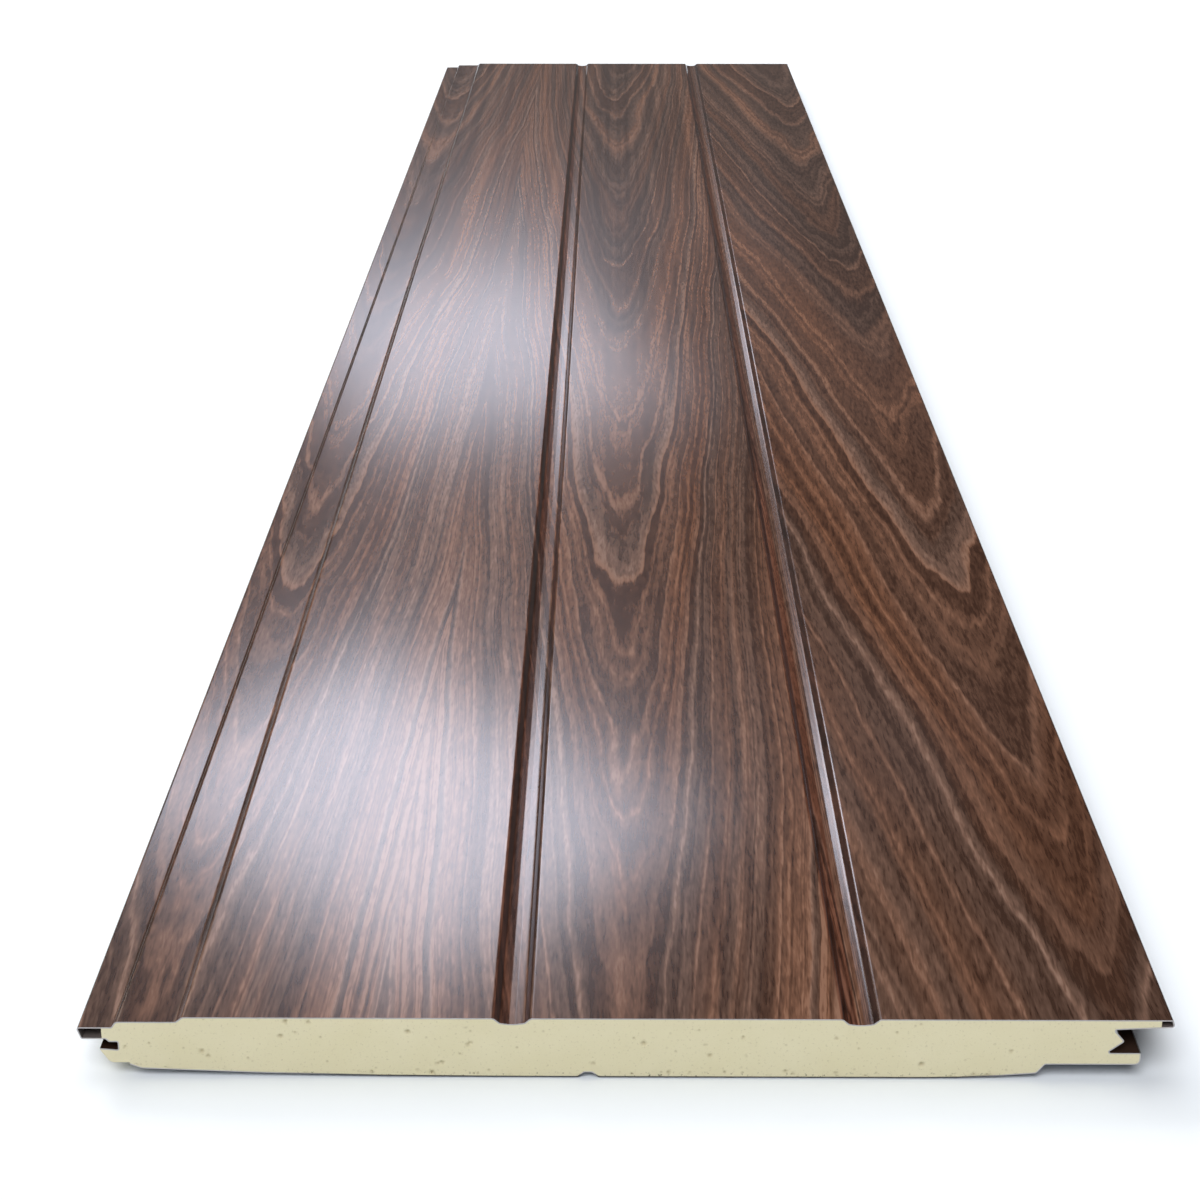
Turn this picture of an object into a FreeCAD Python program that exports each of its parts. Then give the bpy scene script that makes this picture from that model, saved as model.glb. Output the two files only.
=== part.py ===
import FreeCAD, Part
import math
import os

# Insulated siding panel: one roll-formed aluminium face sheet, a rigid foam core and a foil backing.
# All three are long pieces of constant section, so each section is drawn once in the XZ plane and
# pushed along Y. X runs across the panel from its tongue to its groove edge, Y along it, Z up from its back.

# Overall sizes, in millimetres
LENGTH = 2000.0
COVER_WIDTH = 383.0        # wall width that one fitted panel adds
THICKNESS = 25.0           # face to back, at the middle of the panel
SHEET_GAUGE = 0.5          # face sheet
FOIL_GAUGE = 0.4           # foil-faced backing
SHEET_BEND = 0.5           # inside radius of the sheet's bends round the tongue and the slot
FACE_BEND = 1.5            # inside radius of the softer bends in its face
FOIL_BEND = 0.8            # inside radius of every fold in the foil

# Face, divided into planks by pressed grooves
GROOVE_COUNT = 2
PLANK_PITCH = 126.2        # from groove to groove
LAST_PLANK = 113.2         # from the last groove's middle to the lip's tip
GROOVE_WIDTH = 13.4        # at the face
GROOVE_FLOOR = 9.0         # width of its dished floor
GROOVE_DEPTH = 2.0         # to the edges of its floor
GROOVE_DISH = 0.8          # from there to where the floor's two slopes would meet
DISH_SHARE = 0.8           # share of the floor's two slopes that its arc takes up

# Tongue edge. Reaches are measured from the tongue's tip, and depths down from the face.
TONGUE_REACH = 14.5        # to where the next panel's lip stops
TONGUE_DEPTH = 4.4         # to the tongue's top
TONGUE_HEIGHT = 5.0        # outside height of the hollow tongue
TONGUE_RAKE = 1.6          # how far its lower edge is set back from its tip
TONGUE_RISER = 1.6         # width of the slanted wall from the tongue up to the reveal
REVEAL_WIDTH = 24.4        # recessed strip between the tongue and the face
REVEAL_DEPTH = 2.0
REVEAL_RISER = 2.6         # width of the slanted wall from the reveal up to the face
SHOULDER_REACH = 10.4      # to the shoulder under the tongue
SHOULDER_DROP = 1.2        # how far the shoulder steps down, at 45 degrees
TONGUE_FOAM = 1.2          # how far the foam reaches into the tongue past the shoulder
NOTCH_DEPTH = 4.4          # from the shoulder to the bottom of the notch beside it
NOTCH_HEIGHT = 3.3
NOSE_REACH = 8.2           # to the nose under the notch
NOSE_LIFT = 0.6            # height of its point above the notch's lower corner
NOSE_CHAMFER = 3.4         # how far its underside is set back from its point
NOSE_RADIUS = 3.0
NOSE_STEP = 0.4            # how far its underside is above the foil's free edge

# Groove edge. Reaches are measured from the upper lip's tip.
LIP_TIP = 3.2              # thickness of the upper lip at its tip
LIP_ROOT = 4.2             # and where it meets the slot
LIP_RAKE = 0.9             # how far its upper edge is set back from its tip
LIP_HOLLOW = 5.0           # to the foam inside the lip
SLOT_REACH = 21.8          # to the slot's upper corner
SLOT_FOOT_REACH = 23.8     # to the slot's lower corner
SLOT_HEIGHT = 9.8
RIDGE_REACH = 17.6         # to the ridge along the slot's bottom
LOWER_LIP_REACH = 11.4     # to the end of the lower lip
LOWER_LIP_HEIGHT = 5.0
LOWER_LIP_BEND = 1.6       # inside radius of the foil round its end
STEP_REACH = 45.8          # to the step under the lower lip
STEP_RISER = 2.9           # width of the step's slanted wall

# Back: flat along the middle, easing up towards both edges, with one pressed bead
BEAD_OFFSET = -13.2        # bead's middle from the panel's middle
BEAD_WIDTH = 7.4           # at the back
BEAD_FLOOR = 3.0
BEAD_DEPTH = 2.0
TONGUE_LAND = 32.0         # flat from the bead's middle towards the tongue
TONGUE_EASE_RISE = 3.1     # how far the back then eases up
GROOVE_EASE = 42.8         # width of the easing curve on the groove side
GROOVE_EASE_RISE = 2.2
FOIL_REACH = 18.4          # from the tongue's tip to the foil's free edge
FOIL_FLANGE = 4.3          # width of the turned-up strip at that edge
FOIL_FLANGE_RISE = 1.8
EASE_SHARE = 0.98          # share of an easing curve's two legs that its arc takes up

# Places that follow from those sizes
TOTAL_WIDTH = COVER_WIDTH + TONGUE_REACH
TIP = -TOTAL_WIDTH / 2
LIP = TOTAL_WIDTH / 2
TONGUE_TOP = THICKNESS - TONGUE_DEPTH
TONGUE_BOTTOM = TONGUE_TOP - TONGUE_HEIGHT
SLOT_TOP = THICKNESS - LIP_ROOT
SLOT_BOTTOM = SLOT_TOP - SLOT_HEIGHT
LOWER_LIP_END = LIP - LOWER_LIP_REACH
LOWER_LIP_BOTTOM = SLOT_BOTTOM - LOWER_LIP_HEIGHT


def vector(point):
    """A point (x, z) of the section in space."""
    return FreeCAD.Vector(point[0], 0, point[1])


def turn_at(before, corner, after):
    """Signed turn of a path at a corner, in radians, positive to the left."""
    heading_in = math.atan2(corner[1] - before[1], corner[0] - before[0])
    heading_out = math.atan2(after[1] - corner[1], after[0] - corner[0])
    return (heading_out - heading_in + math.pi) % (2 * math.pi) - math.pi


def moved_sideways(a, b, distance):
    """The run from a to b, moved to its left, or to its right if the distance is negative."""
    run = math.dist(a, b)
    shift_x = -(b[1] - a[1]) / run * distance
    shift_z = (b[0] - a[0]) / run * distance
    return (a[0] + shift_x, a[1] + shift_z), (b[0] + shift_x, b[1] + shift_z)


def crossing(first_run, second_run):
    """The point where two straight runs meet, if they are drawn out far enough."""
    (a, b), (c, d) = first_run, second_run
    first_x, first_z = b[0] - a[0], b[1] - a[1]
    second_x, second_z = d[0] - c[0], d[1] - c[1]
    share = (c[0] - a[0]) * second_z - (c[1] - a[1]) * second_x
    share /= first_x * second_z - first_z * second_x
    return a[0] + share * first_x, a[1] + share * first_z


def bent_strip(path, gauge):
    """Both faces of a strip of constant gauge, bent along a path.

    The path is a list of ((x, z), inside bend radius) along one face. The other face lies to its left, or
    to its right if the gauge is negative. Each face comes back as a list of ((x, z), radius).
    """
    points = [point for point, _ in path]
    runs = [moved_sideways(a, b, gauge) for a, b in zip(points, points[1:])]
    near_face = [(points[0], 0)]
    far_face = [(runs[0][0], 0)]
    for i in range(1, len(points) - 1):
        inside = path[i][1]
        outside = inside + abs(gauge)
        far_is_inside = turn_at(points[i - 1], points[i], points[i + 1]) * gauge > 0
        near_face.append((points[i], outside if far_is_inside else inside))
        far_face.append((crossing(runs[i - 1], runs[i]), inside if far_is_inside else outside))
    near_face.append((points[-1], 0))
    far_face.append((runs[-1][1], 0))
    return near_face, far_face


def rounded_corner(before, corner, after, radius):
    """Start, middle and end of the arc that rounds a corner. A sharp corner has no middle."""
    tip = vector(corner)
    if radius == 0:
        return tip, None, tip
    half_turn = abs(turn_at(before, corner, after)) / 2
    back = (vector(before) - tip).normalize()
    ahead = (vector(after) - tip).normalize()
    inward = (back + ahead).normalize()
    cut = radius * math.tan(half_turn)
    return tip + back * cut, tip + inward * (radius / math.cos(half_turn) - radius), tip + ahead * cut


def outline(corners):
    """A closed wire of straight runs and tangent arcs through a list of ((x, z), radius)."""
    joints = []
    for i, (corner, radius) in enumerate(corners):
        before = corners[i - 1][0]
        after = corners[(i + 1) % len(corners)][0]
        joints.append(rounded_corner(before, corner, after, radius))
    edges = []
    start = joints[-1][2]
    for entry, middle, leave in joints:
        edges.append(Part.LineSegment(start, entry).toShape())
        if middle is not None:
            edges.append(Part.Arc(entry, middle, leave).toShape())
        start = leave
    return Part.Wire(edges)


def pushed_along(corners):
    """The solid of a section over the panel's whole length, centred on Y."""
    section = Part.Face(outline(corners))
    section.translate(FreeCAD.Vector(0, -LENGTH / 2, 0))
    return section.extrude(FreeCAD.Vector(0, LENGTH, 0))


def level_at(x, run):
    """A point at x on the straight run between two corners."""
    (a, _), (b, _) = run
    return (x, a[1] + (b[1] - a[1]) * (x - a[0]) / (b[0] - a[0])), 0


def easing_radius(width, rise):
    """Radius of the arc that eases a flat back up by a rise over a width."""
    leg = width / 2
    return EASE_SHARE * leg / math.tan(math.atan2(rise, leg) / 2)


def tongue_points():
    """The sheet's outer face from its edge on the nose, round the notch and the tongue, to the riser's foot."""
    notch_bottom = TIP + SHOULDER_REACH + NOTCH_DEPTH
    notch_top = TONGUE_BOTTOM - SHOULDER_DROP
    return [
        (TIP + NOSE_REACH, notch_top - NOTCH_HEIGHT + NOSE_LIFT),
        (notch_bottom, notch_top - NOTCH_HEIGHT),
        (notch_bottom, notch_top),
        (TIP + SHOULDER_REACH + SHOULDER_DROP, notch_top),
        (TIP + SHOULDER_REACH, TONGUE_BOTTOM),
        (TIP + TONGUE_RAKE, TONGUE_BOTTOM),
        (TIP, TONGUE_TOP),
        (TIP + TONGUE_REACH - TONGUE_RISER, TONGUE_TOP),
    ]


def dish_radius():
    """Radius of the arc that rounds a groove's dished floor."""
    slope_width = GROOVE_FLOOR / 2
    return DISH_SHARE * slope_width / math.tan(math.atan2(GROOVE_DISH, slope_width))


def face_path():
    """The sheet's outer face over the reveal and the grooved planks, with each bend's inside radius."""
    reveal_end = TIP + TONGUE_REACH + REVEAL_WIDTH
    path = [
        ((TIP + TONGUE_REACH, THICKNESS - REVEAL_DEPTH), FACE_BEND),
        ((reveal_end - REVEAL_RISER, THICKNESS - REVEAL_DEPTH), FACE_BEND),
        ((reveal_end, THICKNESS), FACE_BEND),
    ]
    for i in reversed(range(GROOVE_COUNT)):
        middle = LIP - LAST_PLANK - i * PLANK_PITCH
        path += [
            ((middle - GROOVE_WIDTH / 2, THICKNESS), FACE_BEND),
            ((middle - GROOVE_FLOOR / 2, THICKNESS - GROOVE_DEPTH), FACE_BEND),
            ((middle, THICKNESS - GROOVE_DEPTH - GROOVE_DISH), dish_radius()),
            ((middle + GROOVE_FLOOR / 2, THICKNESS - GROOVE_DEPTH), FACE_BEND),
            ((middle + GROOVE_WIDTH / 2, THICKNESS), FACE_BEND),
        ]
    return path


def slot_points():
    """The sheet's outer face round the folded lip and the slot, to its edge on the lower lip."""
    return [
        (LIP - LIP_RAKE, THICKNESS),
        (LIP, THICKNESS - LIP_TIP),
        (LIP - SLOT_REACH, SLOT_TOP),
        (LIP - RIDGE_REACH, (SLOT_TOP + SLOT_BOTTOM) / 2),
        (LIP - SLOT_FOOT_REACH, SLOT_BOTTOM),
        (LOWER_LIP_END - FOIL_GAUGE, SLOT_BOTTOM),
    ]


def foil_path():
    """The foil's outer face from its free edge under the nose to the sheet's edge on the lower lip."""
    flange_foot = TIP + FOIL_REACH + FOIL_FLANGE
    step_foot = LIP - STEP_REACH - STEP_RISER
    tongue_ease = BEAD_OFFSET - TONGUE_LAND - flange_foot
    return [
        ((TIP + FOIL_REACH, TONGUE_EASE_RISE + FOIL_FLANGE_RISE), 0),
        ((flange_foot, TONGUE_EASE_RISE), FOIL_BEND),
        ((flange_foot + tongue_ease / 2, 0), easing_radius(tongue_ease, TONGUE_EASE_RISE)),
        ((BEAD_OFFSET - BEAD_WIDTH / 2, 0), FOIL_BEND),
        ((BEAD_OFFSET - BEAD_FLOOR / 2, BEAD_DEPTH), FOIL_BEND),
        ((BEAD_OFFSET + BEAD_FLOOR / 2, BEAD_DEPTH), FOIL_BEND),
        ((BEAD_OFFSET + BEAD_WIDTH / 2, 0), FOIL_BEND),
        ((step_foot - GROOVE_EASE / 2, 0), easing_radius(GROOVE_EASE, GROOVE_EASE_RISE)),
        ((step_foot, GROOVE_EASE_RISE), FOIL_BEND),
        ((LIP - STEP_REACH, LOWER_LIP_BOTTOM), FOIL_BEND),
        ((LOWER_LIP_END, LOWER_LIP_BOTTOM), LOWER_LIP_BEND),
        ((LOWER_LIP_END, SLOT_BOTTOM), 0),
    ]


def nose_corners(point, foil_edge):
    """The bare foam nose, from the foil's free edge to just under the nose's point."""
    underside = foil_edge[1] + NOSE_STEP
    return [((foil_edge[0], underside), 0), ((point[0] + NOSE_CHAMFER, underside), NOSE_RADIUS)]


def foam_corners(bonded, foil_inner, shoulder, lip):
    """The foam, which fills the sheet and the foil but leaves the ends of the tongue and the lip hollow.

    shoulder and lip are the places in the sheet's bonded face of the shoulder and of the lip's upper edge.
    """
    tongue_foam = TIP + SHOULDER_REACH - TONGUE_FOAM
    lip_foam = LIP - LIP_HOLLOW
    corners = bonded[:shoulder + 1]
    corners.append(level_at(tongue_foam, bonded[shoulder:shoulder + 2]))
    corners.append(level_at(tongue_foam, bonded[shoulder + 2:shoulder + 4]))
    corners += bonded[shoulder + 3:lip]
    corners.append(level_at(lip_foam, bonded[lip - 1:lip + 1]))
    corners.append(level_at(lip_foam, bonded[lip + 1:lip + 3]))
    corners += bonded[lip + 2:]
    corners += foil_inner[-2::-1]
    return corners + nose_corners(bonded[0][0], foil_inner[0][0])


def build():
    """The panel's three solids, by name."""
    tongue = [(point, SHEET_BEND) for point in tongue_points()]
    face = face_path()
    slot = [(point, SHEET_BEND) for point in slot_points()]
    painted, bonded = bent_strip(tongue + face + slot, -SHEET_GAUGE)
    foil_outer, foil_inner = bent_strip(foil_path(), FOIL_GAUGE)
    shoulder = tongue_points().index((TIP + SHOULDER_REACH, TONGUE_BOTTOM))
    foam = foam_corners(bonded, foil_inner, shoulder, len(tongue + face))
    return {
        "face_sheet": pushed_along(painted + bonded[::-1]),
        "foam_core": pushed_along(foam),
        "backing_foil": pushed_along(foil_outer + foil_inner[::-1]),
    }


os.makedirs("parts", exist_ok=True)
for name, solid in build().items():
    solid.exportStep(f"parts/{name}.step")
    print(f"{name}: valid {solid.isValid()}, {solid.Volume / 1000:.1f} cm3")
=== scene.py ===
"""Looks of an insulated siding panel: printed face sheet, sawn foam core and foil back on a pale floor."""
import math

import bmesh
import bpy
from bpy.props import FloatProperty, FloatVectorProperty, IntProperty, PointerProperty
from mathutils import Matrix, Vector
from mathutils.geometry import delaunay_2d_cdt


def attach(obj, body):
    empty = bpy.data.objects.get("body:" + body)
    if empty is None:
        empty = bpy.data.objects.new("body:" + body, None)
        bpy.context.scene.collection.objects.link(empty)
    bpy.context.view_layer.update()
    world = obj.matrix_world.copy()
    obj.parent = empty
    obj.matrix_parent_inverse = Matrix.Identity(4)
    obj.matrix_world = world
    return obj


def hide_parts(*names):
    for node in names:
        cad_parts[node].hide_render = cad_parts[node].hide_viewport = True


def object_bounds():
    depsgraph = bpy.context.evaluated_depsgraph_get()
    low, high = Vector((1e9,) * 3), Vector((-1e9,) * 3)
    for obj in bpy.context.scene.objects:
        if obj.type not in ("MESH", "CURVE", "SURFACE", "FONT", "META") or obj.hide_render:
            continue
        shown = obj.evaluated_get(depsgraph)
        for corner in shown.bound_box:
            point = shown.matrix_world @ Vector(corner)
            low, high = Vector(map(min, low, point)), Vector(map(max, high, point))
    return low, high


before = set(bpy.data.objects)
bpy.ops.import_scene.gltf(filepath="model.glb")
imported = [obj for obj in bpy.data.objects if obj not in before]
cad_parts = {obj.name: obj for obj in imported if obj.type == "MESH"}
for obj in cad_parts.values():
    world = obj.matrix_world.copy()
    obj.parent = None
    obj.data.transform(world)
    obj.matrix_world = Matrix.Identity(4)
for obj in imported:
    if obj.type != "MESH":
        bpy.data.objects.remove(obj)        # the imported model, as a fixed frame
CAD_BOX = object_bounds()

bl_info = {
    "name": "Insulated siding panel",
    "version": (1, 0, 0),
    "blender": (4, 5, 0),
    "location": "View3D > Sidebar > Siding",
    "description": "Dresses an insulated siding panel with its wood print, sawn foam and foil back",
    "category": "Object",
}

# Places taken from the frame, in metres
PANEL_LOW, PANEL_HIGH = (Vector(corner) for corner in CAD_BOX)
NEAR_END = PANEL_LOW.y
FAR_END = PANEL_HIGH.y
FACE_HEIGHT = PANEL_HIGH.z

# Sizes and shares for reading the sections and meshing them, in metres and radians
SAME_POINT = 1e-6
SHEET_GAUGE = 0.0005
GAUGE_ERROR = 0.1           # as a share of the gauge
TURNS_BACK = -0.9           # cosine of the turn round a strip's end
EDGE_CLEARANCE = 0.4        # free strip inside a sawn end's outline, as a share of its grid
METAL_SHARP_ANGLE = 1.0
FOAM_SHARP_ANGLE = 0.6

# Heights over the panel's back between which a mark of the sawn ends fades out: the crowding of open cells,
# the painted shade of torn cells and the painted contact shadow on the backing's cut edge
CROWDED_CELLS = (0.0010, 0.0045)
TORN_CELL_SHADE = (0.0008, 0.0030)
CONTACT_SHADOW_HEIGHTS = (0.0006, 0.0018)

# Sizes of the open cells: the smallest one as a share of the largest, and how rare large ones are
SMALLEST_CELL = 0.35
CELL_RARITY = 4.0

# Settings of the wood print that its node group takes as inputs
FIGURE_INPUTS = ("heart_spacing", "heart_offset", "heart_width", "ring_width", "flank_squeeze", "arch_length",
                 "wander", "open_side", "seed")

# Sizes of the wood print that are not set by hand, in metres
RAGGED_LINES = 0.0018       # how far a line strays at the finest scale
OPENING = 0.011             # the strip over which the figure opens out
HEART_FADE = (0.010, 0.045)
NOISE_TO_ONE = 4.0          # noise about zero reaches about a quarter

# Where painted shade goes on the print: heights deep in the tongue and the slot, tilts of the grooves' floors
# and walls, and how much of the walls' painted shade is laid on
JOINT_SHADE_HEIGHTS = (FACE_HEIGHT - 0.0065, FACE_HEIGHT - 0.0050)
DISH_TILT = (0.03, 0.12)
WALL_TILT = (0.80, 0.97)
WALL_PAINTED_SHADE = 0.85

# Specks on uneven surfaces: how many to the width of a patch, and the noise's levels that show as specks
SPECKS_TO_A_PATCH = 7.0
SPECK_LEVELS = (0.58, 0.72)

# Widths and shares of light of the lamps, one in another, that give a ceiling lamp its soft sides
LAMP_STEPS = ((0.78, 0.45), (1.08, 0.38), (1.45, 0.16), (3.2, 0.01))
LAMP_TINT = (0.82, 0.85, 1.0)
LENGTH_STEP = 0.25          # how much of a step in width a lamp's length takes

# Direction, width in degrees and tint of each soft lamp far off
SKY_LAMPS = {
    "front_light": ((-0.25, -1.0, 1.35), 40, (1.0, 1.0, 1.0)),
    "top_light": ((-0.1, 0.5, 1.2), 50, (1.0, 0.97, 0.93)),
    "back_light": ((-0.62, 1.0, 0.8), 18, (1.0, 0.95, 0.88)),
}

# Parts of a direction, up and towards the far end, between which the surroundings change
LOW_LIGHT = (0.12, 0.36)
WHITE_BAND = (0.055, 0.105)
AHEAD = (0.35, 0.70)

# Half the floor's side, the gap that the panel's uneven back leaves over it, and the sensor in millimetres
FLOOR_HALF = 400.0
FLOOR_GAP = 0.0006
SENSOR_WIDTH = 36.0


def length(label, words, default):
    """A size that a user may change, in metres."""
    return FloatProperty(name=label, description=words, default=default, unit="LENGTH", precision=4)


def share(label, words, default):
    """A factor without a unit."""
    return FloatProperty(name=label, description=words, default=default, min=0.0)


def angle(label, words, degrees):
    """An angle, given in degrees and kept in radians."""
    return FloatProperty(name=label, description=words, default=math.radians(degrees), subtype="ANGLE")


def screen_colour(red, green, blue):
    """A colour as it is seen on a screen, 0 to 255, as linear light."""
    linear = []
    for value in (red, green, blue):
        part = value / 255
        linear.append(part / 12.92 if part <= 0.04045 else ((part + 0.055) / 1.055) ** 2.4)
    return tuple(linear)


def colour(label, words, red, green, blue):
    """A colour that a user may change, given as it is seen on a screen."""
    default = screen_colour(red, green, blue)
    return FloatVectorProperty(name=label, description=words, default=default, subtype="COLOR", min=0, max=1)


class PrintSettings(bpy.types.PropertyGroup):
    """Sizes and colours of the wood print on the face sheet."""
    heart_spacing: length("Heart spacing", "Distance between the hearts of the printed figure", 0.177)
    heart_offset: length("Heart offset", "Place of one heart across the panel", 0.0)
    heart_width: length("Heart width", "How blunt the arches are at a heart", 0.010)
    ring_width: length("Ring width", "Distance between rings near a heart", 0.019)
    flank_squeeze: share("Flank squeeze", "How much finer the rings are on a flank, to a metre", 15.0)
    arch_length: length("Arch length", "Distance between arches along a heart", 0.135)
    wander: length("Wander", "How far a heart strays from its straight line", 0.007)
    open_side: length("Open side", "Where the figure starts to open out, across the panel", 0.080)
    seed: IntProperty(name="Seed", description="Changes the tones of the rings", default=1)
    dark: colour("Dark grain", "Darkest lines of the print", 59, 40, 31)
    shade: colour("Shaded grain", "Dark bands of the print", 79, 58, 48)
    ground: colour("Ground", "Ground colour of the print", 95, 72, 61)
    warm: colour("Warm grain", "Warm bands of the print", 113, 86, 73)
    light: colour("Light grain", "Lightest lines of the print", 137, 109, 95)
    redness: colour("Redness", "Tint of the redder rings", 255, 223, 193)
    # Painted shade standing in for the shade deep in the tongue and the slot, where the coat is left off too
    painted_joint_shade: colour("Joint paint", "Plain paint in the tongue and the slot", 56, 41, 34)
    # Painted shade on the steep walls of the grooves
    painted_wall_shade: colour("Wall shade", "Shade of the print on the walls of the grooves", 150, 125, 122)
    # Painted shade on the left half of each groove's floor
    painted_dish_shade: colour("Dish shade", "Shade of the print on the left half of a groove's floor", 216, 196, 192)
    coat_roughness: share("Coat roughness", "Roughness of the clear coat", 0.13)


class FoamSettings(bpy.types.PropertyGroup):
    """Sizes and colours of the sawn foam."""
    grid: length("Grid", "Spacing of the points on a sawn end", 0.0008)
    cell_radius: length("Cell radius", "Radius of the largest open cells", 0.0011)
    cell_density: FloatProperty(name="Cell density", description="Open cells to a square metre",
                                default=9000.0, min=0.0)
    crowding: share("Crowding", "How many times closer the open cells are along the back", 6.0)
    cell_depth: share("Cell depth", "Depth of an open cell as a share of its radius", 0.9)
    seed: IntProperty(name="Seed", description="Changes where the open cells are", default=4)
    cream: colour("Cream", "Colour of the freshly cut foam", 217, 210, 181)
    cloud: colour("Cloud", "Colour of the yellower clouds in the foam", 209, 201, 166)
    # Painted shade in the open cells and in fine specks
    shade: colour("Shade", "Colour in the open cells", 160, 148, 118)
    # Painted shade of the torn cells along the back
    torn_cell_shade: colour("Crumbs", "Colour of the torn cells along the back", 92, 82, 64)


class SheetSettings(bpy.types.PropertyGroup):
    """Sizes and colours of the bare metal and of the foil."""
    bays: IntProperty(name="Bays", description="Lengths that the sheet is divided into", default=40, min=1)
    cut_metal: colour("Cut metal", "Colour of the sheet's sawn edge", 196, 193, 193)
    dull_metal: colour("Dull metal", "Duller patches of the sheet's sawn edge", 150, 146, 146)
    metal_specks: colour("Metal specks", "Dark specks on the sheet's sawn edge", 110, 104, 102)
    back_coat: colour("Back coat", "Colour of the sheet's bonded side", 104, 95, 93)
    dark_coat: colour("Dark coat", "Darker patches of the sheet's bonded side", 84, 75, 73)
    coat_specks: colour("Coat specks", "Light specks on the sheet's bonded side", 128, 118, 114)
    foil: colour("Foil", "Colour of the backing foil", 160, 162, 166)
    dull_foil: colour("Dull foil", "Duller patches of the backing foil", 136, 138, 142)
    cut_backing: colour("Cut backing", "Duller patches of the backing's cut edge", 160, 156, 160)
    # Painted contact shadow on the backing's cut edge along the floor
    painted_contact_shadow: colour("Dark edge", "Colour of the backing's cut edge at the floor", 58, 55, 54)


class StageSettings(bpy.types.PropertyGroup):
    """Camera, floor and lamps."""
    camera_height: length("Camera height", "Camera's height above the panel's face", 0.4601)
    camera_back: length("Camera distance", "Camera's distance in front of the near end", 0.7046)
    camera_side: length("Camera side", "Camera's place across the panel", -0.0049)
    camera_pitch: angle("Camera pitch", "How far the camera looks down", 22.808)
    camera_yaw: angle("Camera yaw", "How far the camera looks to the left", 0.322)
    lens: FloatProperty(name="Lens", description="Focal length in millimetres on a 36 mm sensor",
                        default=68.855)
    floor: colour("Floor", "Colour of the floor", 242, 248, 255)
    lamp_height: length("Lamp height", "Height of the ceiling lamps above the panel's face", 4.0)
    near_side: length("Near side", "Where the nearer ceiling lamp shows across the face", -0.100)
    near_glare: length("Near glare", "Where the nearer ceiling lamp shows along the face", -0.834)
    near_glare_width: length("Near glare width", "How wide the nearer ceiling lamp shows", 0.142)
    near_glare_length: length("Near glare length", "How long the nearer ceiling lamp shows", 0.218)
    near_turn: angle("Near turn", "How far the nearer ceiling lamp is turned to the left", 46)
    near_radiance: share("Near lamp", "Brightness of the nearer ceiling lamp", 15.8)
    far_side: length("Far side", "Where the farther ceiling lamp shows across the face", -0.112)
    far_glare: length("Far glare", "Where the farther ceiling lamp shows along the face", -0.150)
    far_glare_width: length("Far glare width", "How wide the farther ceiling lamp shows", 0.182)
    far_glare_length: length("Far glare length", "How long the farther ceiling lamp shows", 0.345)
    far_turn: angle("Far turn", "How far the farther ceiling lamp is turned to the left", 20)
    far_radiance: share("Far lamp", "Brightness of the farther ceiling lamp", 7.3)
    end_side: length("End side", "Where the last ceiling lamp shows across the face", -0.065)
    end_glare: length("End glare", "Where the last ceiling lamp shows along the face", 0.10)
    end_glare_width: length("End glare width", "How wide the last ceiling lamp shows", 0.28)
    end_glare_length: length("End glare length", "How long the last ceiling lamp shows", 0.30)
    end_turn: angle("End turn", "How far the last ceiling lamp is turned to the left", 4)
    end_radiance: share("End lamp", "Brightness of the last ceiling lamp", 1.3)
    front_light: share("Front light", "Strength of the soft light from the camera's side", 2.25)
    top_light: share("Top light", "Strength of the soft light from above", 1.15)
    back_light: share("Back light", "Strength of the low light from behind", 1.0)
    surround: share("Surround", "Strength of the even light from all round", 0.04)
    horizon: share("Horizon", "Strength of the light from the horizon", 0.115)


# Node helpers

def add(tree, kind, inputs=None, **settings):
    """A new node, with its settings made and its inputs set or linked."""
    node = tree.nodes.new(kind)
    for name, value in settings.items():
        setattr(node, name, value)
    for key, value in (inputs or {}).items():
        if isinstance(value, bpy.types.NodeSocket):
            tree.links.new(value, node.inputs[key])
        else:
            node.inputs[key].default_value = value
    return node


def calc(tree, operation, *values, clamp=False):
    """The result of one step of arithmetic."""
    node = add(tree, "ShaderNodeMath", dict(enumerate(values)), operation=operation, use_clamp=clamp)
    return node.outputs[0]


def combine(tree, x, y, z):
    """A vector from its parts."""
    return add(tree, "ShaderNodeCombineXYZ", {0: x, 1: y, 2: z}).outputs[0]


def between(tree, value, low, high, to_low=0.0, to_high=1.0):
    """A value eased from one range into another and held there."""
    inputs = {"Value": value, "From Min": low, "From Max": high, "To Min": to_low, "To Max": to_high}
    return add(tree, "ShaderNodeMapRange", inputs, interpolation_type="SMOOTHSTEP").outputs[0]


def noise(tree, vector, scale, detail=2.0, roughness=0.5):
    """Soft random values from 0 to 1."""
    inputs = {"Vector": vector, "Scale": scale, "Detail": detail, "Roughness": roughness}
    return add(tree, "ShaderNodeTexNoise", inputs).outputs[0]


def blend(tree, factor, first, second, how="MIX"):
    """A mix of two colours."""
    inputs = {0: factor, 6: first, 7: second}
    return add(tree, "ShaderNodeMix", inputs, data_type="RGBA", blend_type=how).outputs[2]


def named(tree, name, kind):
    """Values that a piece keeps under a name."""
    return add(tree, "GeometryNodeInputNamedAttribute", {"Name": name}, data_type=kind).outputs[0]


def named_on(tree, geometry, name, value, kind, domain):
    """A piece with values kept under a name."""
    inputs = {"Geometry": geometry, "Name": name, "Value": value}
    return add(tree, "GeometryNodeStoreNamedAttribute", inputs, data_type=kind, domain=domain).outputs[0]


def sampled(tree, geometry, value, index, kind):
    """A value at one element of a piece."""
    inputs = {"Geometry": geometry, "Value": value, "Index": index}
    return add(tree, "GeometryNodeSampleIndex", inputs, data_type=kind).outputs[0]


def opaque(rgb):
    """A colour with full alpha."""
    return (*rgb, 1.0)


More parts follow.
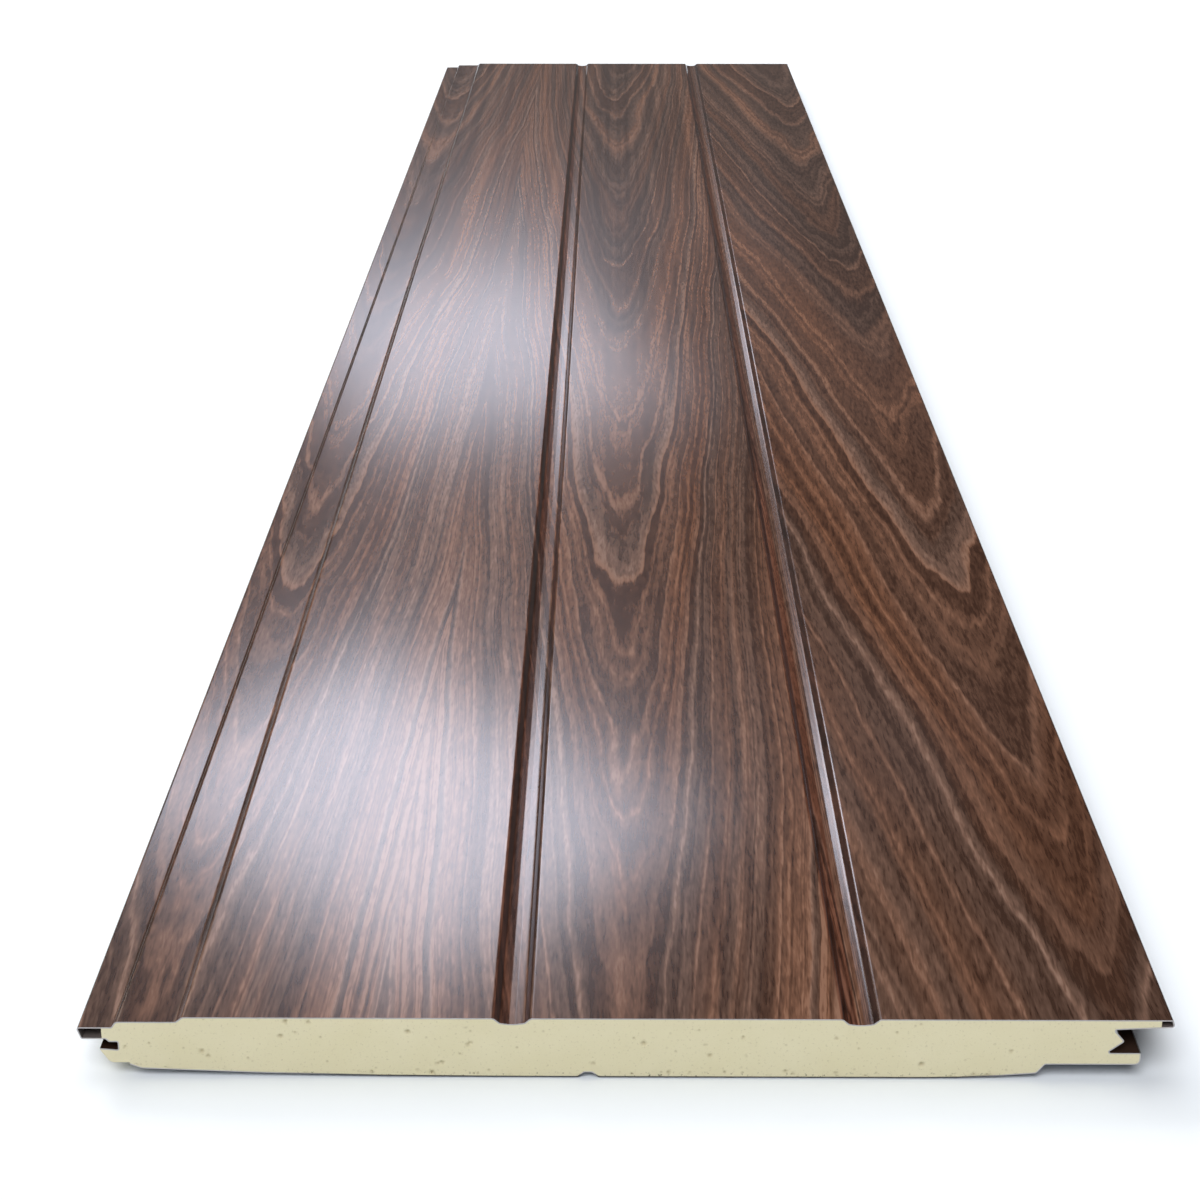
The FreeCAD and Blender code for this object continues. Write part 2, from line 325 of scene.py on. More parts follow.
def socket_name(setting):
    """The name of a group's input for a setting."""
    return setting.replace("_", " ").capitalize()


def new_tree(name, kind, inputs, outputs):
    """A node group with named sockets, and its input and output nodes."""
    tree = bpy.data.node_groups.new(name, kind)
    for label, socket_kind, default in inputs:
        socket = tree.interface.new_socket(label, in_out="INPUT", socket_type=socket_kind)
        if default is not None:
            socket.default_value = default
    for label, socket_kind in outputs:
        tree.interface.new_socket(label, in_out="OUTPUT", socket_type=socket_kind)
    return tree, tree.nodes.new("NodeGroupInput").outputs, tree.nodes.new("NodeGroupOutput").inputs


def new_material(name):
    """A material with an empty Principled shader, and its tree and shader node."""
    material = bpy.data.materials.new(name)
    material.use_nodes = True
    return material, material.node_tree, material.node_tree.nodes["Principled BSDF"]


# Sections, read from the frame

def section_outline(node):
    """Outline of a CAD node's near end, as (x, z) points in counter-clockwise order."""
    shape = bmesh.new()
    shape.from_mesh(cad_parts[node].data)
    bmesh.ops.remove_doubles(shape, verts=shape.verts, dist=SAME_POINT)
    at_end = {v for v in shape.verts if abs(v.co.y - NEAR_END) < SAME_POINT}
    cap = {f for f in shape.faces if at_end.issuperset(f.verts)}
    rim = [e for e in shape.edges if len(cap.intersection(e.link_faces)) == 1]
    after = {}
    for edge in rim:
        face = cap.intersection(edge.link_faces).pop()
        loop = next(corner for corner in face.loops if corner.edge == edge)
        after[loop.vert] = loop.link_loop_next.vert
    start = min(after, key=lambda v: (v.co.x, v.co.z))
    outline = [start]
    while after[outline[-1]] is not start:
        outline.append(after[outline[-1]])
    points = [(v.co.x, v.co.z) for v in outline]
    shape.free()
    return points


def held_flat(outline, margin):
    """The outline with extra points near the ends of its long runs, to keep smooth shading at the bends."""
    held = []
    for first, second in zip(outline, outline[1:] + outline[:1]):
        held.append(first)
        run = Vector(second) - Vector(first)
        if run.length > 4 * margin:
            step = run * (margin / run.length)
            held.append(tuple(Vector(first) + step))
            held.append(tuple(Vector(second) - step))
    return held


def inside_segments(outline, gauge):
    """For each segment of a bent strip's outline, whether it is on the bonded side."""
    count = len(outline)
    points = [Vector(p) for p in outline]
    runs = [points[(i + 1) % count] - points[i] for i in range(count)]
    ends = []
    for i, run in enumerate(runs):
        before, after = runs[i - 1], runs[(i + 1) % count]
        turns_back = before.normalized().dot(after.normalized()) < TURNS_BACK
        if turns_back and abs(run.length - gauge) < GAUGE_ERROR * gauge:
            ends.append(i)
    first, second = ends
    shares = [first < i < second for i in range(count)]
    top = max(range(count), key=lambda i: points[i].y + points[(i + 1) % count].y)
    if shares[top]:
        shares = [not inside for inside in shares]
    return shares


def grid_points(outline, spacing):
    """Points of a triangular grid that lie well inside an outline."""
    points = []
    xs = [p[0] for p in outline]
    zs = [p[1] for p in outline]
    clearance = EDGE_CLEARANCE * spacing
    row = 0
    z = min(zs) + spacing / 2
    while z < max(zs):
        crossings = []
        for (x1, z1), (x2, z2) in zip(outline, outline[1:] + outline[:1]):
            if (z1 > z) != (z2 > z):
                crossings.append(x1 + (z - z1) * (x2 - x1) / (z2 - z1))
        crossings.sort()
        for left, right in zip(crossings[::2], crossings[1::2]):
            first = math.ceil((left + clearance - min(xs)) / spacing)
            x = min(xs) + (first + 0.5 * (row % 2)) * spacing
            while x < right - clearance:
                points.append((x, z))
                x += spacing
        row += 1
        z += spacing * math.sqrt(0.75)
    return points


def section_object(name, outline, inside=None, spacing=None):
    """A flat filled section at y = 0, whose first points are the outline in order."""
    fill = grid_points(outline, spacing) if spacing else []
    points = [Vector(p) for p in outline + fill]
    count = len(outline)
    rim = [(i, (i + 1) % count) for i in range(count)]
    flat, _, faces, *_ = delaunay_2d_cdt(points, rim, [], 1, SAME_POINT / 10)
    mesh = bpy.data.meshes.new(name)
    mesh.from_pydata([(p.x, 0, p.y) for p in flat], [], faces)
    inner = mesh.attributes.new("inner", "FLOAT", "POINT")
    hidden = mesh.attributes.new("inside", "BOOLEAN", "POINT")
    for i in range(len(flat)):
        inner.data[i].value = float(i >= count)
        hidden.data[i].value = bool(inside and i < count and inside[i])
    piece = bpy.data.objects.new(name, mesh)
    bpy.context.scene.collection.objects.link(piece)
    return piece


# Geometry trees

def pushed_section_tree():
    """A section pushed along the panel: walls from its outline, and the section itself at both ends."""
    tree, given, result = new_tree(
        "Pushed section", "GeometryNodeTree",
        [
            ("Section", "NodeSocketGeometry", None),
            ("Outline points", "NodeSocketInt", 3),
            ("Near end", "NodeSocketFloat", -1.0),
            ("Far end", "NodeSocketFloat", 1.0),
            ("Bays", "NodeSocketInt", 1),
            ("Sharp angle", "NodeSocketFloat", 0.6),
            ("Skin", "NodeSocketMaterial", None),
            ("Bonded side", "NodeSocketMaterial", None),
            ("Ends", "NodeSocketMaterial", None),
        ],
        [("Piece", "NodeSocketGeometry")],
    )
    columns = calc(tree, "ADD", given["Outline points"], 1)
    rows = calc(tree, "ADD", given["Bays"], 1)
    grid = add(tree, "GeometryNodeMeshGrid", {"Vertices X": columns, "Vertices Y": rows})
    index = tree.nodes.new("GeometryNodeInputIndex").outputs[0]
    column = calc(tree, "FLOOR", calc(tree, "DIVIDE", calc(tree, "ADD", index, 0.5), rows))
    row = calc(tree, "SUBTRACT", index, calc(tree, "MULTIPLY", column, rows))
    on_outline = calc(tree, "MODULO", column, given["Outline points"])
    position = tree.nodes.new("GeometryNodeInputPosition").outputs[0]
    corner = sampled(tree, given["Section"], position, on_outline, "FLOAT_VECTOR")
    span = calc(tree, "SUBTRACT", given["Far end"], given["Near end"])
    along = calc(tree, "MULTIPLY_ADD", calc(tree, "DIVIDE", row, given["Bays"]), span, given["Near end"])
    across = add(tree, "ShaderNodeSeparateXYZ", {0: corner}).outputs
    place = combine(tree, across["X"], along, across["Z"])
    walls = add(tree, "GeometryNodeSetPosition", {"Geometry": grid.outputs["Mesh"], "Position": place})
    walls = add(tree, "GeometryNodeFlipFaces", {"Mesh": walls.outputs[0]})
    segment = calc(tree, "FLOOR", calc(tree, "DIVIDE", calc(tree, "ADD", index, 0.5), given["Bays"]))
    hidden = sampled(tree, given["Section"], named(tree, "inside", "BOOLEAN"), segment, "BOOLEAN")
    walls = named_on(tree, walls.outputs[0], "bonded", hidden, "BOOLEAN", "FACE")
    end = named_on(tree, given["Section"], "sawn", True, "BOOLEAN", "FACE")

    def end_at(name):
        """The section moved to one end."""
        inputs = {"Geometry": end, "Translation": combine(tree, 0, given[name], 0)}
        return add(tree, "GeometryNodeTransform", inputs).outputs[0]

    near = end_at("Near end")
    far = add(tree, "GeometryNodeFlipFaces", {"Mesh": end_at("Far end")}).outputs[0]
    joined = tree.nodes.new("GeometryNodeJoinGeometry")
    for part in (far, near, walls):
        tree.links.new(part, joined.inputs[0])
    merged = add(tree, "GeometryNodeMergeByDistance", {"Geometry": joined.outputs[0], "Distance": SAME_POINT})
    smooth = add(tree, "GeometryNodeSetShadeSmooth", {"Geometry": merged.outputs[0], "Shade Smooth": True})
    turn = tree.nodes.new("GeometryNodeInputMeshEdgeAngle").outputs[0]
    soft = add(tree, "FunctionNodeCompare", {0: turn, 1: given["Sharp angle"]}, operation="LESS_THAN")
    smooth = add(tree, "GeometryNodeSetShadeSmooth",
                 {"Geometry": smooth.outputs[0], "Shade Smooth": soft.outputs[0]}, domain="EDGE")
    piece = add(tree, "GeometryNodeRealizeInstances", {"Geometry": smooth.outputs[0]}).outputs[0]
    piece = add(tree, "GeometryNodeSetMaterial", {"Geometry": piece, "Material": given["Skin"]}).outputs[0]
    for mark, material in (("bonded", "Bonded side"), ("sawn", "Ends")):
        chosen = named(tree, mark, "BOOLEAN")
        piece = add(tree, "GeometryNodeSetMaterial",
                    {"Geometry": piece, "Selection": chosen, "Material": given[material]}).outputs[0]
    tree.links.new(piece, result[0])
    return tree


def open_cells_tree():
    """Open cells dented into the sawn ends, at random places and of random sizes."""
    tree, given, result = new_tree(
        "Open cells", "GeometryNodeTree",
        [
            ("Piece", "NodeSocketGeometry", None),
            ("Density", "NodeSocketFloat", 1.0),
            ("Crowding", "NodeSocketFloat", 1.0),
            ("Radius", "NodeSocketFloat", 0.001),
            ("Depth", "NodeSocketFloat", 0.5),
            ("Seed", "NodeSocketInt", 0),
            ("Material", "NodeSocketMaterial", None),
        ],
        [("Piece", "NodeSocketGeometry")],
    )
    sawn = named(tree, "sawn", "BOOLEAN")
    position = tree.nodes.new("GeometryNodeInputPosition").outputs[0]
    height = add(tree, "ShaderNodeSeparateXYZ", {0: position}).outputs["Z"]
    crowding = between(tree, height, *CROWDED_CELLS, given["Crowding"], 1.0)
    density = calc(tree, "MULTIPLY", given["Density"], crowding)
    cells = add(tree, "GeometryNodeDistributePointsOnFaces",
                {"Mesh": given["Piece"], "Selection": sawn, "Density": density, "Seed": given["Seed"]})
    chance = add(tree, "FunctionNodeRandomValue", {"Seed": given["Seed"]}, data_type="FLOAT").outputs[1]
    mostly_small = calc(tree, "POWER", chance, CELL_RARITY)
    size = calc(tree, "MULTIPLY_ADD", mostly_small, 1.0 - SMALLEST_CELL, SMALLEST_CELL)
    size = calc(tree, "MULTIPLY", size, given["Radius"])
    nearest = add(tree, "GeometryNodeSampleNearest", {"Geometry": cells.outputs[0]}).outputs[0]
    middle = sampled(tree, cells.outputs[0], position, nearest, "FLOAT_VECTOR")
    radius = sampled(tree, cells.outputs[0], size, nearest, "FLOAT")
    away = add(tree, "ShaderNodeVectorMath", {0: position, 1: middle}, operation="DISTANCE")
    reach = calc(tree, "DIVIDE", away.outputs["Value"], radius)
    bowl = calc(tree, "SUBTRACT", 1.0, calc(tree, "MULTIPLY", reach, reach), clamp=True)
    bowl = calc(tree, "MULTIPLY", bowl, named(tree, "inner", "FLOAT"))
    marked = named_on(tree, given["Piece"], "cell", bowl, "FLOAT", "POINT")
    depth = calc(tree, "MULTIPLY", calc(tree, "MULTIPLY", bowl, radius), given["Depth"])
    normal = tree.nodes.new("GeometryNodeInputNormal").outputs[0]
    inward = add(tree, "ShaderNodeVectorMath",
                 {0: normal, "Scale": calc(tree, "MULTIPLY", depth, -1.0)}, operation="SCALE").outputs[0]
    dented = add(tree, "GeometryNodeSetPosition", {"Geometry": marked, "Offset": inward})
    piece = add(tree, "GeometryNodeRealizeInstances", {"Geometry": dented.outputs[0]}).outputs[0]
    piece = add(tree, "GeometryNodeSetMaterial", {"Geometry": piece, "Material": given["Material"]})
    tree.links.new(piece.outputs[0], result[0])
    return tree


def run_tree(piece, tree, **values):
    """Puts a tree on a piece, with inputs given by their names in lower case."""
    modifier = piece.modifiers.new(tree.name, "NODES")
    modifier.node_group = tree
    for socket in tree.interface.items_tree:
        key = socket.name.lower().replace(" ", "_")
        if socket.in_out == "INPUT" and key in values:
            modifier[socket.identifier] = values[key]


def settle(piece, name):
    """Turns what a piece's trees make into its own plain mesh."""
    depsgraph = bpy.context.evaluated_depsgraph_get()
    mesh = bpy.data.meshes.new_from_object(piece.evaluated_get(depsgraph), depsgraph=depsgraph)
    piece.modifiers.clear()
    flat = piece.data
    piece.data = mesh
    bpy.data.meshes.remove(flat)
    mesh.name = name


# Materials

def own_place(tree):
    """Where each point lies on its own piece."""
    return tree.nodes.new("ShaderNodeTexCoord").outputs["Object"]


def wood_figure_group():
    """Printed wood figure: nested arches along evenly spaced hearts, with straight fibres and pores."""
    inputs = [("Position", "NodeSocketVector", None)]
    inputs += [(socket_name(setting), "NodeSocketFloat", None) for setting in FIGURE_INPUTS]
    outputs = [("Tone", "NodeSocketFloat"), ("Redness", "NodeSocketFloat")]
    tree, given, result = new_tree("Wood figure", "ShaderNodeTree", inputs, outputs)
    x, y, _ = add(tree, "ShaderNodeSeparateXYZ", {0: given["Position"]}).outputs

    def uneven(u, across, along, depth, detail=2.0, roughness=0.5):
        """Noise about zero at a depth of its own, with so many waves to a unit of u and to a metre along."""
        vector = combine(tree, calc(tree, "MULTIPLY", u, across), calc(tree, "MULTIPLY", y, along), depth)
        return calc(tree, "SUBTRACT", noise(tree, vector, 1.0, detail, roughness), 0.5)

    def plus(total, value, amount):
        """A total with a share of a value added."""
        return calc(tree, "MULTIPLY_ADD", value, amount, total)

    def chance(step):
        """A random value from 0 to 1 for each whole number."""
        place = combine(tree, step, given["Seed"], 0.0)
        return add(tree, "ShaderNodeTexWhiteNoise", {"Vector": place}, noise_dimensions="2D").outputs[0]

    def counted(position, times, start):
        """A position counted in other steps, so many to one, from a start of its own."""
        return calc(tree, "MULTIPLY_ADD", position, times, start)

    def bands(position, ease):
        """A random value about zero for each whole step of a position, eased into the next one."""
        step = calc(tree, "FLOOR", position)
        here = chance(step)
        ahead = chance(calc(tree, "ADD", step, 1.0))
        part = between(tree, calc(tree, "FRACT", position), 1.0 - ease, 1.0)
        change = calc(tree, "MULTIPLY", calc(tree, "SUBTRACT", ahead, here), part)
        return calc(tree, "SUBTRACT", calc(tree, "ADD", here, change), 0.5)

    def rims(position, edge, power):
        """A light rim at the outer edge of each whole step, which fades inwards and ends sharply."""
        part = calc(tree, "FRACT", position)
        rise = calc(tree, "POWER", part, power)
        rise = calc(tree, "MULTIPLY", rise, between(tree, part, 1.0 - edge, 1.0, 1.0, 0.0))
        return calc(tree, "MULTIPLY", rise, chance(calc(tree, "FLOOR", position)))

    # The hearts stray slowly along the panel, and every line is ragged at a finer scale.
    wander = calc(tree, "MULTIPLY", given["Wander"], NOISE_TO_ONE)
    stray = calc(tree, "MULTIPLY", uneven(x, across=5.0, along=2.2, depth=3.1), wander)
    stray = plus(stray, uneven(x, across=150.0, along=30.0, depth=1.9), RAGGED_LINES)
    strayed = calc(tree, "SUBTRACT", calc(tree, "ADD", x, stray), given["Heart offset"])
    flank = calc(tree, "PINGPONG", strayed, calc(tree, "MULTIPLY", given["Heart spacing"], 0.5))
    blunt = calc(tree, "MULTIPLY", given["Heart width"], given["Heart width"])
    radius = calc(tree, "SQRT", calc(tree, "MULTIPLY_ADD", flank, flank, blunt))
    at_heart = between(tree, flank, *HEART_FADE, 1.0, 0.0)

    # Rings are narrow on the flanks, but stay wide where the figure opens out, right of the last groove.
    opened = calc(tree, "ADD", given["Open side"], OPENING)
    closed = between(tree, x, given["Open side"], opened, 1.0, 0.0)
    squeeze = calc(tree, "MULTIPLY", given["Flank squeeze"], closed)
    squeezed = calc(tree, "MULTIPLY_ADD", calc(tree, "MULTIPLY", radius, radius), squeeze, radius)
    rise = calc(tree, "DIVIDE", y, given["Arch length"])
    ring = calc(tree, "SUBTRACT", calc(tree, "DIVIDE", squeezed, given["Ring width"]), rise)

    # The rings bulge, are jagged at the hearts, differ in width and are frayed.
    jagged = calc(tree, "MULTIPLY", uneven(x, across=60.0, along=11.0, depth=7.7), at_heart)
    ring = plus(ring, uneven(x, across=8.0, along=2.6, depth=5.5), 1.6)
    ring = plus(ring, jagged, 0.8)
    ring = plus(ring, uneven(ring, across=0.45, along=1.0, depth=9.3), 1.2)
    ring = plus(ring, uneven(x, across=420.0, along=16.0, depth=2.7), 0.16)

    # Each ring has a light rim that fades inwards; finer rings and lines run beside it.
    tone = plus(0.16, rims(ring, edge=0.10, power=2.6), 0.60)
    tone = plus(tone, rims(counted(ring, 2.1, 40.5), edge=0.16, power=1.8), 0.76)
    tone = plus(tone, bands(counted(ring, 4.6, 150.5), ease=0.70), 0.66)
    tone = plus(tone, bands(counted(ring, 9.5, 520.5), ease=0.70), 0.60)
    tone = plus(tone, bands(counted(ring, 0.7, 310.5), ease=0.70), 0.22)
    tone = plus(tone, uneven(ring, across=0.45, along=1.2, depth=6.6), 0.35)

    # Streaks run along the panel, more of them on the closed side; the hearts and the open side are darker.
    tone = plus(tone, uneven(x, across=34.0, along=1.4, depth=8.8), 0.45)
    streaks = uneven(x, across=150.0, along=1.3, depth=2.2)
    streaks = plus(streaks, uneven(x, across=60.0, along=1.1, depth=6.1), 0.45)
    tone = plus(tone, calc(tree, "MULTIPLY", streaks, closed), 1.6)
    tone = plus(tone, at_heart, -0.16)
    tone = plus(tone, closed, 0.08)
    tone = between(tree, tone, -0.35, 1.25, to_low=0.06, to_high=0.94)

    # Fibres and short dark pores run straight along the panel, and some rings are redder.
    tone = plus(tone, uneven(strayed, across=560.0, along=80.0, depth=4.4, roughness=0.65), 0.95)
    pores = uneven(strayed, across=820.0, along=95.0, depth=0.7, detail=1.0)
    tone = plus(tone, between(tree, pores, -0.17, 0.0, 1.0, 0.0), -0.22)
    redness = plus(0.5, bands(counted(ring, 1.9, 90.5), ease=0.5), 0.9)
    redness = calc(tree, "MULTIPLY_ADD", at_heart, -0.2, redness, clamp=True)
    tone = calc(tree, "MULTIPLY_ADD", redness, 0.20, tone, clamp=True)
    tree.links.new(tone, result["Tone"])
    tree.links.new(redness, result["Redness"])
    return tree


def printed_material(settings):
    """Rosewood print under a satin clear coat, with painted shade deep in the tongue and the slot, on the
    left halves of the grooves' floors and on the grooves' walls.
    """
    material, tree, shader = new_material("printed_aluminium")
    inputs = {socket_name(setting): getattr(settings, setting) for setting in FIGURE_INPUTS}
    inputs["Position"] = own_place(tree)
    figure = add(tree, "ShaderNodeGroup", inputs, node_tree=wood_figure_group())
    ramp = add(tree, "ShaderNodeValToRGB", {0: figure.outputs["Tone"]})
    stops = ramp.color_ramp.elements
    stops[0].color = opaque(settings.dark)
    stops[1].color = opaque(settings.light)
    for place_on_ramp, tint in ((0.25, settings.shade), (0.5, settings.ground), (0.75, settings.warm)):
        stops.new(place_on_ramp).color = opaque(tint)
    base = blend(tree, figure.outputs["Redness"], ramp.outputs[0], opaque(settings.redness), "MULTIPLY")
    # Painted shade deep in the tongue and the slot; the same mask takes the coat off there
    joint_shade_mask = low_down(tree, *JOINT_SHADE_HEIGHTS)
    base = blend(tree, joint_shade_mask, base, opaque(settings.painted_joint_shade))
    facing = tree.nodes.new("ShaderNodeTexCoord").outputs["Normal"]
    facing_right, _, facing_up = add(tree, "ShaderNodeSeparateXYZ", {0: facing}).outputs
    # Painted shade on the left half of each groove's floor, where it tilts to the right
    dish_shade_mask = between(tree, facing_right, *DISH_TILT)
    base = blend(tree, dish_shade_mask, base, opaque(settings.painted_dish_shade), "MULTIPLY")
    # Painted shade on the steep walls of the grooves, picked by how far they tilt
    wall_shade_mask = between(tree, facing_up, *WALL_TILT, WALL_PAINTED_SHADE, 0.0)
    base = blend(tree, wall_shade_mask, base, opaque(settings.painted_wall_shade), "MULTIPLY")
    tree.links.new(base, shader.inputs["Base Color"])
    shader.inputs["Roughness"].default_value = 0.5
    shader.inputs["Specular IOR Level"].default_value = 0.0
    tree.links.new(calc(tree, "SUBTRACT", 1.0, joint_shade_mask), shader.inputs["Coat Weight"])
    shader.inputs["Coat Roughness"].default_value = settings.coat_roughness
    return material


def patches_group():
    """Soft patches that make a plain surface uneven, kept for every material that asks for them."""
    if "Patches" in bpy.data.node_groups:
        return bpy.data.node_groups["Patches"]
    tree, given, result = new_tree(
        "Patches", "ShaderNodeTree",
        [("Position", "NodeSocketVector", None), ("Patches to a metre", "NodeSocketFloat", 100.0)],
        [("Amount", "NodeSocketFloat"), ("Specks", "NodeSocketFloat")],
    )
    amount = noise(tree, given["Position"], given["Patches to a metre"], detail=3.0, roughness=0.6)
    finer = calc(tree, "MULTIPLY", given["Patches to a metre"], SPECKS_TO_A_PATCH)
    specks = between(tree, noise(tree, given["Position"], finer, roughness=0.6), *SPECK_LEVELS)
    tree.links.new(amount, result["Amount"])
    tree.links.new(specks, result["Specks"])
    return tree


def patches(tree, to_a_metre):
    """Soft patches and specks on a piece."""
    inputs = {"Position": own_place(tree), "Patches to a metre": to_a_metre}
    node = add(tree, "ShaderNodeGroup", inputs, node_tree=patches_group())
    return node.outputs["Amount"], node.outputs["Specks"]


def height_fade_group():
    """1 up to one height, easing to 0 at another, kept for every material that asks for it."""
    if "Height fade" in bpy.data.node_groups:
        return bpy.data.node_groups["Height fade"]
    tree, given, result = new_tree(
        "Height fade", "ShaderNodeTree",
        [("Position", "NodeSocketVector", None), ("Full height", "NodeSocketFloat", 0.0),
         ("End height", "NodeSocketFloat", 1.0)],
        [("Amount", "NodeSocketFloat")],
    )
    height = add(tree, "ShaderNodeSeparateXYZ", {0: given["Position"]}).outputs["Z"]
    amount = between(tree, height, given["Full height"], given["End height"], 1.0, 0.0)
    tree.links.new(amount, result["Amount"])
    return tree


def low_down(tree, full, end):
    """1 up to one height on a piece, easing to 0 at another."""
    inputs = {"Position": own_place(tree), "Full height": full, "End height": end}
    return add(tree, "ShaderNodeGroup", inputs, node_tree=height_fade_group()).outputs["Amount"]


def bare_metal_material(settings):
    """Sawn edge of the aluminium sheet."""
    material, tree, shader = new_material("cut_aluminium")
    amount, specks = patches(tree, to_a_metre=900.0)
    tone = blend(tree, amount, opaque(settings.dull_metal), opaque(settings.cut_metal))
    tone = blend(tree, calc(tree, "MULTIPLY", specks, 0.5), tone, opaque(settings.metal_specks))
    tree.links.new(tone, shader.inputs["Base Color"])
    tree.links.new(between(tree, amount, 0.3, 0.7, to_low=0.45, to_high=0.65), shader.inputs["Roughness"])
    shader.inputs["Metallic"].default_value = 0.4
    return material


def back_coat_material(settings):
    """Grey primer on the sheet's bonded side."""
    material, tree, shader = new_material("back_coat")
    amount, specks = patches(tree, to_a_metre=160.0)
    tone = blend(tree, amount, opaque(settings.back_coat), opaque(settings.dark_coat))
    tone = blend(tree, calc(tree, "MULTIPLY", specks, 0.4), tone, opaque(settings.coat_specks))
    tree.links.new(tone, shader.inputs["Base Color"])
    tree.links.new(between(tree, amount, 0.2, 0.8, to_low=0.5, to_high=0.75), shader.inputs["Roughness"])
    return material


def foam_material(settings):
    """Cream foam with fine cells, with painted shade in the open cells, in fine specks and in the torn cells
    along the back.
    """
    material, tree, shader = new_material("sawn_foam")
    cell = add(tree, "ShaderNodeAttribute", attribute_name="cell").outputs["Fac"]
    clouds, _ = patches(tree, to_a_metre=45.0)
    tone = blend(tree, clouds, opaque(settings.cream), opaque(settings.cloud))
    # Painted shade in fine specks for pores too small to dent, and in the dented open cells
    _, specks = patches(tree, to_a_metre=130.0)
    tone = blend(tree, calc(tree, "MULTIPLY", specks, 0.35), tone, opaque(settings.shade))
    tone = blend(tree, calc(tree, "MULTIPLY", cell, 0.8), tone, opaque(settings.shade))
    # Painted shade of torn cells, in specks low down along the back
    _, torn_cell_shade = patches(tree, to_a_metre=105.0)
    torn_cell_shade = calc(tree, "MULTIPLY", torn_cell_shade, low_down(tree, *TORN_CELL_SHADE))
    tone = blend(tree, torn_cell_shade, tone, opaque(settings.torn_cell_shade))
    tree.links.new(tone, shader.inputs["Base Color"])
    shader.inputs["Roughness"].default_value = 0.85
    shader.inputs["Specular IOR Level"].default_value = 0.2
    grit, _ = patches(tree, to_a_metre=2200.0)
    bump = add(tree, "ShaderNodeBump", {"Height": grit, "Strength": 0.4, "Distance": 0.0002})
    tree.links.new(bump.outputs[0], shader.inputs["Normal"])
    return material


def foil_material(settings):
    """Dull grey foil, lightly crinkled."""
    material, tree, shader = new_material("foil")
    crinkle, _ = patches(tree, to_a_metre=60.0)
    tone = blend(tree, crinkle, opaque(settings.dull_foil), opaque(settings.foil))
    tree.links.new(tone, shader.inputs["Base Color"])
    tree.links.new(between(tree, crinkle, 0.3, 0.7, to_low=0.32, to_high=0.5), shader.inputs["Roughness"])
    shader.inputs["Metallic"].default_value = 0.85
    bump = add(tree, "ShaderNodeBump", {"Height": crinkle, "Strength": 0.25, "Distance": 0.0006})
    tree.links.new(bump.outputs[0], shader.inputs["Normal"])
    return material


def backing_edge_material(settings):
    """Cut edge of the backing, with a painted contact shadow where it lies on the floor."""
    material, tree, shader = new_material("backing_edge")
    amount, specks = patches(tree, to_a_metre=300.0)
    tone = blend(tree, amount, opaque(settings.cut_backing), opaque(settings.cut_metal))
    # Painted contact shadow low down on the cut edge, broken up by specks
    dark = calc(tree, "MULTIPLY_ADD", specks, -0.4, low_down(tree, *CONTACT_SHADOW_HEIGHTS), clamp=True)
    tone = blend(tree, dark, tone, opaque(settings.painted_contact_shadow))
    tree.links.new(tone, shader.inputs["Base Color"])
    shader.inputs["Roughness"].default_value = 0.7
    return material


def floor_material(settings):
    """Plain pale floor."""
    material, _, shader = new_material("floor")
    shader.inputs["Base Color"].default_value = opaque(settings.floor)
    shader.inputs["Roughness"].default_value = 0.9
    shader.inputs["Specular IOR Level"].default_value = 0.0
    return material


# Operators

class SIDING_OT_face_sheet(bpy.types.Operator):
    """Makes the printed face sheet from the frame's section"""
    bl_idname = "siding.face_sheet"
    bl_label = "Face sheet"

    def execute(self, context):
        settings = context.scene.siding_sheet
        outline = held_flat(section_outline("face_sheet"), SHEET_GAUGE / 2)
        inside = inside_segments(outline, SHEET_GAUGE)
        piece = section_object("printed_sheet", outline, inside)
        run_tree(piece, pushed_section_tree(), outline_points=len(outline), near_end=NEAR_END,
                 far_end=FAR_END, bays=settings.bays, sharp_angle=METAL_SHARP_ANGLE,
                 skin=printed_material(context.scene.siding_print),
                 bonded_side=back_coat_material(settings), ends=bare_metal_material(settings))
        settle(piece, "printed_sheet")
        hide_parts("face_sheet")
        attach(piece, "root")
        return {"FINISHED"}


class SIDING_OT_foam_core(bpy.types.Operator):
    """Makes the foam core with open cells on its sawn ends"""
    bl_idname = "siding.foam_core"
    bl_label = "Foam core"

    def execute(self, context):
        settings = context.scene.siding_foam
        material = foam_material(settings)
        outline = section_outline("foam_core")
        piece = section_object("sawn_foam", outline, spacing=settings.grid)
        run_tree(piece, bpy.data.node_groups["Pushed section"], outline_points=len(outline),
                 near_end=NEAR_END, far_end=FAR_END, bays=1, sharp_angle=FOAM_SHARP_ANGLE,
                 skin=material, bonded_side=material, ends=material)
        run_tree(piece, open_cells_tree(), density=settings.cell_density, crowding=settings.crowding,
                 radius=settings.cell_radius, depth=settings.cell_depth, seed=settings.seed,
                 material=material)
        settle(piece, "sawn_foam")
        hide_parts("foam_core")
        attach(piece, "root")
        return {"FINISHED"}


class SIDING_OT_backing_foil(bpy.types.Operator):
    """Makes the foil facing on the back"""
    bl_idname = "siding.backing_foil"
    bl_label = "Backing foil"

    def execute(self, context):
        settings = context.scene.siding_sheet
        material = foil_material(settings)
        outline = held_flat(section_outline("backing_foil"), SHEET_GAUGE / 2)
        piece = section_object("backing", outline)
        run_tree(piece, bpy.data.node_groups["Pushed section"], outline_points=len(outline),
                 near_end=NEAR_END, far_end=FAR_END, bays=settings.bays, sharp_angle=METAL_SHARP_ANGLE,
                 skin=material, bonded_side=material, ends=backing_edge_material(settings))
        settle(piece, "backing")
        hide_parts("backing_foil")
        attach(piece, "root")
        return {"FINISHED"}


